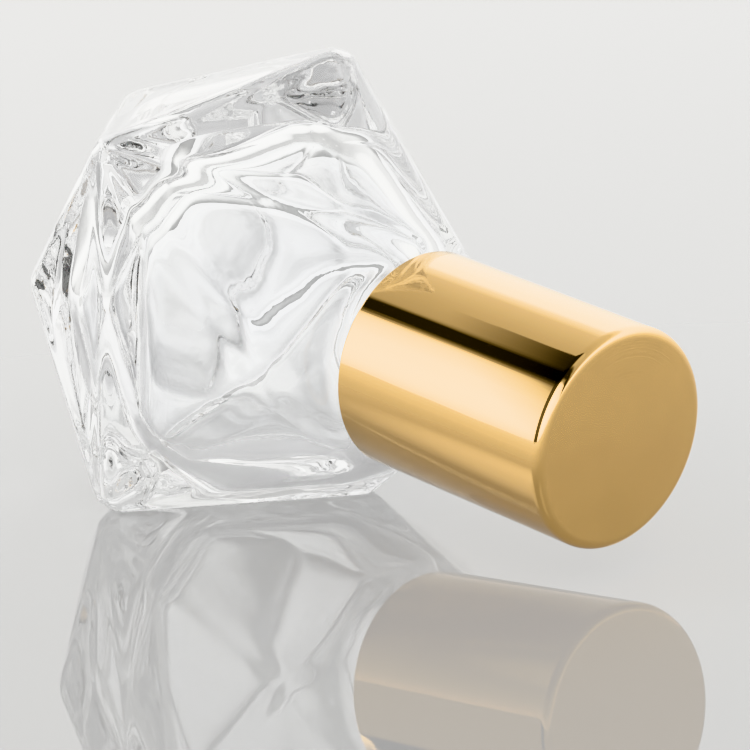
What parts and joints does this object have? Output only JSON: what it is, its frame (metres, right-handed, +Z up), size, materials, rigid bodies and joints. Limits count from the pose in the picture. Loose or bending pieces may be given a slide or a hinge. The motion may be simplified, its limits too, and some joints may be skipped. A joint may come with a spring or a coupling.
{
  "type": "roll-on perfume bottle",
  "caption": "Small faceted clear glass roll-on perfume bottle lying on one facet, with a roller ball under a tall gold screw cap.",
  "frame": {"origin": "centre of the bounding box's bottom, on the table that the bottle lies on", "axes": "+X level, towards the cap end; +Z up from the table; the bottle's own axis dips 6.1 degrees below +X"},
  "size_m": [0.054, 0.038, 0.0361],
  "materials": {
    "clear_glass": "polished clear flint glass with soft moulded edges",
    "natural_plastic": "natural translucent polyethylene",
    "polished_steel": "polished stainless steel",
    "gold_anodised": "bright gold anodised aluminium",
    "white_liner": "moulded white polypropylene",
    "seal_foam": "soft white polyethylene foam"
  },
  "bodies": {
    "bottle": {"glass_bottle": "clear_glass", "ball_housing": "natural_plastic"},
    "ball": {"roller_ball": "polished_steel"},
    "seal": {"seal_disc": "seal_foam"},
    "cap": {"cap_shell": "gold_anodised", "inner_cap": "white_liner"}
  },
  "joints": [
    {"name": "ball_roll", "type": "hinge", "parent": "bottle", "child": "ball", "pos_m": [0.01893, -0.00235, 0.01148], "axis": [0, 1, 0], "continuous": true},
    {"name": "cap_lift", "type": "slide", "parent": "bottle", "child": "seal", "axis": [0.9944, 0, -0.1061], "range_m": [0, 0.01801]},
    {"name": "cap_twist", "type": "hinge", "parent": "seal", "child": "cap", "pos_m": [-0.02547, -0.00235, 0.01622], "axis": [0.9944, 0, -0.1061], "range_deg": [0, 2160]}
  ],
  "couplings": [
    {"joint": "cap_lift", "follows": "cap_twist", "m_per_rad": 0.00047746}
  ]
}
